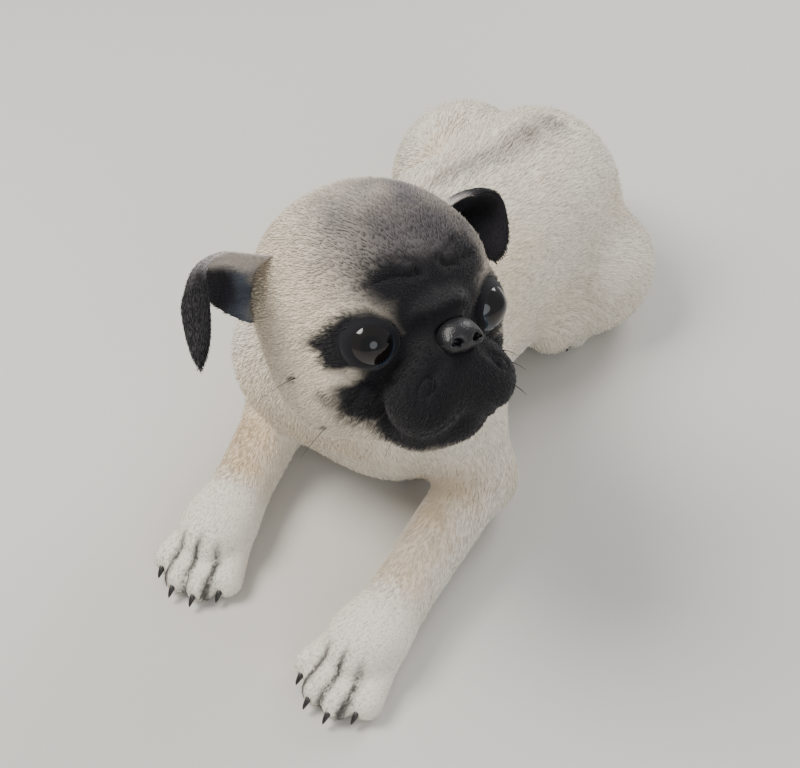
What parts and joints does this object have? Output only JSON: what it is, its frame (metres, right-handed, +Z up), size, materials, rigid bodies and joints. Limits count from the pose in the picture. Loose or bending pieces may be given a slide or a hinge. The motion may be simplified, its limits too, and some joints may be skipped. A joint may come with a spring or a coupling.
{
  "type": "pug puppy lying down, still model",
  "caption": "Life-size still model of a fawn pug puppy lying on its chest, forelegs stretched forward, head raised and turned to its left.",
  "frame": {"origin": "on the floor, at the resting flat under the breastbone", "axes": "+Z up, the puppy faces -Y, its left side is +X"},
  "size_m": [0.157, 0.3219, 0.175],
  "materials": {
    "fawn_coat": "short soft fawn puppy coat",
    "tan_coat": "short soft coat with a warm tan tint",
    "pale_coat": "short soft almost white coat with black claws",
    "nose_leather": "moist pebbled black nose",
    "black_ear": "velvety black ear with short fur",
    "eye_gloss": "wet dark brown eye"
  },
  "bodies": {
    "root": {"torso": "fawn_coat", "neck": "fawn_coat", "tail": "fawn_coat", "leg_front_left": "tan_coat", "leg_front_right": "tan_coat", "leg_hind_left": "fawn_coat", "leg_hind_right": "fawn_coat", "paw_front_left": "pale_coat", "paw_front_right": "pale_coat", "paw_hind_left": "pale_coat", "paw_hind_right": "pale_coat", "head": "fawn_coat", "nose": "nose_leather", "ear_left": "black_ear", "ear_right": "black_ear", "eye_left": "eye_gloss", "eye_right": "eye_gloss"}
  },
  "joints": []
}
